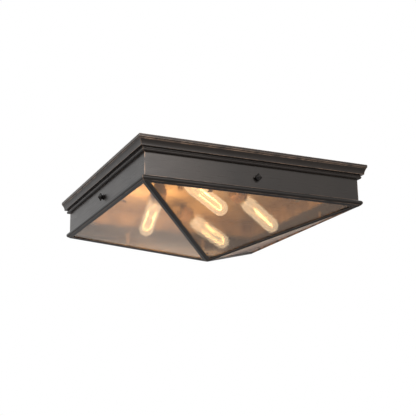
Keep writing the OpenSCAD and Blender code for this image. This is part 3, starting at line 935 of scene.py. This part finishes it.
for lamp in LAMPS:
    base = bmesh.new()
    bmesh.ops.spin(
        base,
        geom=profile(base, THREAD),
        cent=(0, 0, 0),
        axis=(1, 0, 0),
        dvec=(PITCH * MM / TURN_STEPS, 0, 0),
        angle=math.tau * TURNS,
        steps=TURN_STEPS * TURNS,
    )
    bmesh.ops.remove_doubles(base, verts=base.verts, dist=MERGE)
    bmesh.ops.reverse_faces(base, faces=base.faces)
    thread_mesh = bpy.data.meshes.new("thread")
    base.to_mesh(thread_mesh)
    base.free()
    shell = turned(SHELL)
    shell.from_mesh(thread_mesh)
    bpy.data.meshes.remove(thread_mesh)
    shell.transform(lamp_matrix(lamp))
    cap = put(f"bulb_cap_{lamp}", shell, f"lamp_{lamp}", [metals["bulb_brass"]])
    shade_smooth(cap, RIM_ANGLE)
    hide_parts(f"bulb_base_{lamp}")
    insulator = turned(INSULATOR)
    insulator.transform(lamp_matrix(lamp))
    black = put(f"bulb_insulator_{lamp}", insulator, f"lamp_{lamp}", [insulator_glass])
    shade_smooth(black, RIM_ANGLE)
    contact = turned(CONTACT)
    contact.transform(lamp_matrix(lamp))
    button = put(f"bulb_contact_{lamp}", contact, f"lamp_{lamp}", [metals["solder"]])
    shade_smooth(button, RIM_ANGLE)
    print(f"{cap.name}: {len(cap.data.polygons)} faces")

# %% [markdown]
# ## Glass stem
# Inside the bulb a flared glass stem is pressed flat round two stiff wires. It is turned like the
# other round parts, and then its far end is pinched: thinner one way and wider the other.

# %% Glass stem
STEM = [
    (18, 0), (18, 10.0), (19.5, 8.6), (22, 5.6), (25, 4.2), (30, 3.5), (38, 3.3), (44, 3.0), (46, 2.4),
    (46.6, 1.2), (46.8, 0),
]
PINCH_FROM, PINCH_TO = 32, 40
PINCH_THINNER, PINCH_WIDER = 0.45, 0.3

for lamp in LAMPS:
    stem = turned(STEM, steps=32)
    for vert in stem.verts:
        share = (vert.co.x / MM - PINCH_FROM) / (PINCH_TO - PINCH_FROM)
        pinch = min(max(share, 0), 1)
        vert.co.z *= 1 - PINCH_THINNER * pinch
        vert.co.y *= 1 + PINCH_WIDER * pinch
    stem.transform(lamp_matrix(lamp, roll=True))
    glass_stem = put(f"bulb_stem_{lamp}", stem, f"lamp_{lamp}", [bulb_glass])
    shade_smooth(glass_stem, RIM_ANGLE)
    print(f"{glass_stem.name}: {len(glass_stem.data.polygons)} faces")

# %% [markdown]
# ## Lead wires and hairpin
# Two stiff wires spread from the stem and carry the filament, a long loop that is bent round at the
# far end and held there by a thin hook. Wires are curves with a round bevel, turned into meshes
# before they are placed.

# %% Wires and hairpin
HALF_GAP = 8
BEND = 104
LEGS = (56, 80, BEND)
HEAT_FROM, HEAT_TO = 40, 108
LOOP_RADIUS, LEAD_RADIUS, HOOK_RADIUS = 1.2, 0.45, 0.22
HOOK = [(45, 0, 0.5), (75, 0, 1.2), (100, 0, 1.6), (110, 0, 1.4), (113.2, 0, 0), (111.4, 0, -1.2)]


def wire(name, points, radius, material, lamp):
    """A round wire through these points, in the lamp's own frame and in millimetres."""
    curve = bpy.data.curves.new(name, "CURVE")
    curve.dimensions = "3D"
    curve.bevel_depth = radius * MM
    curve.bevel_resolution = 3
    curve.resolution_u = 6
    curve.use_fill_caps = True
    spline = curve.splines.new("BEZIER")
    spline.bezier_points.add(len(points) - 1)
    for point, place in zip(spline.bezier_points, points):
        point.co = [value * MM for value in place]
        point.handle_left_type = point.handle_right_type = "AUTO"
    drawn = bpy.data.objects.new(name, curve)
    bpy.context.scene.collection.objects.link(drawn)
    depsgraph = bpy.context.evaluated_depsgraph_get()
    bm = bmesh.new()
    bm.from_mesh(drawn.evaluated_get(depsgraph).to_mesh())
    bpy.data.objects.remove(drawn)
    bpy.data.curves.remove(curve)
    bmesh.ops.remove_doubles(bm, verts=bm.verts, dist=MERGE)
    bmesh.ops.recalc_face_normals(bm, faces=bm.faces)
    heat_layer = bm.verts.layers.float.new("heat")
    for vert in bm.verts:
        vert[heat_layer] = min(max((vert.co.x / MM - HEAT_FROM) / (HEAT_TO - HEAT_FROM), 0), 1)
    bm.transform(lamp_matrix(lamp, roll=True))
    piece = put(name, bm, f"lamp_{lamp}", [material])
    shade_smooth(piece, RIM_ANGLE)
    return piece


for lamp in LAMPS:
    arc = [
        (BEND + HALF_GAP * math.cos(a), HALF_GAP * math.sin(a), 0)
        for a in (math.radians(d) for d in range(-75, 76, 15))
    ]
    leg_out = [(x, -HALF_GAP, 0) for x in LEGS]
    leg_back = [(x, HALF_GAP, 0) for x in reversed(LEGS)]
    hairpin = wire(f"filament_loop_{lamp}", leg_out + arc + leg_back, LOOP_RADIUS, lit, lamp)
    hairpin.visible_diffuse = False
    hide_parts(f"filament_{lamp}")
    for label, way in (("a", -1), ("b", 1)):
        wire(
            f"lead_wire_{label}_{lamp}",
            [(22, way * 1.5, 0), (44, way * 1.8, 0), (50, way * 4.5, 0), (56.5, way * HALF_GAP, 0)],
            LEAD_RADIUS,
            metals["nickel_wire"],
            lamp,
        )
    wire(f"hook_wire_{lamp}", HOOK, HOOK_RADIUS, metals["nickel_wire"], lamp)
print("hairpins, lead wires and hooks are in the bulbs")

# %% [markdown]
# ## Lamp holders
# A holder is a pressed phenolic cup, and ribs round its skirt give the hand a grip. The cup is turned
# on a lathe, and the ribs are small blocks with rounded edges, set round it in a ring.

# %% Lamp holders
HOLDER_RADIUS = 16.5
CUP = [
    (-6, 0), (-6, 13.8), (-5.4, 14.5), (-3.6, 14.5), (-3.2, 15.0), (11.0, 15.0), (11.5, 15.6),
    (11.8, HOLDER_RADIUS), (14.2, HOLDER_RADIUS), (14.5, 16.2), (14.5, 13.4), (14.2, 13.1), (4.7, 13.1),
    (4.7, 9.6), (-0.3, 9.6), (-0.3, 0),
]
RIBS = 24
RIB_LENGTH, RIB_WIDTH, RIB_HEIGHT = 13 * MM, 1.6 * MM, 1.4 * MM
RIB_PLACE = (4 * MM, 0, 15 * MM)
RIB_ROUND = 0.3 * MM

for lamp in LAMPS:
    cup = turned(CUP, steps=64)
    for index in range(RIBS):
        rib = bmesh.ops.create_cube(
            cup,
            size=1,
            matrix=Matrix.Rotation(math.tau * index / RIBS, 4, "X")
            @ Matrix.Translation(RIB_PLACE)
            @ Matrix.Diagonal((RIB_LENGTH, RIB_WIDTH, RIB_HEIGHT, 1)),
        )
        edges = {e for v in rib["verts"] for e in v.link_edges}
        bmesh.ops.bevel(
            cup, geom=list(edges), offset=RIB_ROUND, affect="EDGES", segments=2, profile=0.5, material=-1
        )
    cup.transform(lamp_matrix(lamp))
    holder = put(f"holder_cup_{lamp}", cup, "housing", [phenolic])
    shade_smooth(holder, RIM_ANGLE)
    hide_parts(f"holder_{lamp}")
    print(f"{holder.name}: {len(holder.data.polygons)} faces")

# %% [markdown]
# ## Light inside the shade
# Four small warm lamps stand at the hairpins. They are part of the scene's lighting, so that the
# reflector and the walls glow as they do in the photograph. They aren't seen themselves. Their
# powers differ, because the photograph is brighter in the near corner than on the right. Hairpins
# and tubes were hidden from diffuse rays above, so nothing is lit twice.

# %% Warm lamps
WARM = (1.0, 0.71, 0.42)
GLOWS = {"left": 1.7, "front": 1.3, "right": 0.3, "back": 0.5}
GLOW_RADIUS = 12 * MM
GLOW_PLACE = Vector((72 * MM, 0, 0))

for lamp, power in GLOWS.items():
    glow_light = bpy.data.lights.new(f"glow_{lamp}", "POINT")
    glow_light.color = WARM
    glow_light.energy = power
    glow_light.shadow_soft_size = GLOW_RADIUS
    glow_lamp = bpy.data.objects.new(f"glow_{lamp}", glow_light)
    glow_lamp.location = lamp_matrix(lamp) @ GLOW_PLACE
    glow_lamp.visible_camera = False
    glow_lamp.visible_glossy = False
    glow_lamp.visible_transmission = False
    bpy.context.scene.collection.objects.link(glow_lamp)
print("four warm lamps")

# %% [markdown]
# ## Floor and card finish
# The floor is a plain pale matt surface, and the card is plain brown.

# %% Floor and card finish
paper, tree, shader, _ = new_material("pale_floor")
tree.links.new(
    blend_colour(tree, noise(tree, 1.5, 2.0), (0.8, 0.8, 0.8), (0.83, 0.83, 0.83)),
    shader.inputs["Base Color"],
)
shader.inputs["Roughness"].default_value = 0.9
floor.data.materials.append(paper)

cardboard, tree, shader, _ = new_material("brown_card")
tree.links.new(
    blend_colour(tree, noise(tree, 3.0, 2.0), (0.42, 0.34, 0.3), (0.5, 0.4, 0.35)),
    shader.inputs["Base Color"],
)
shader.inputs["Roughness"].default_value = 0.9
card.data.materials.append(cardboard)
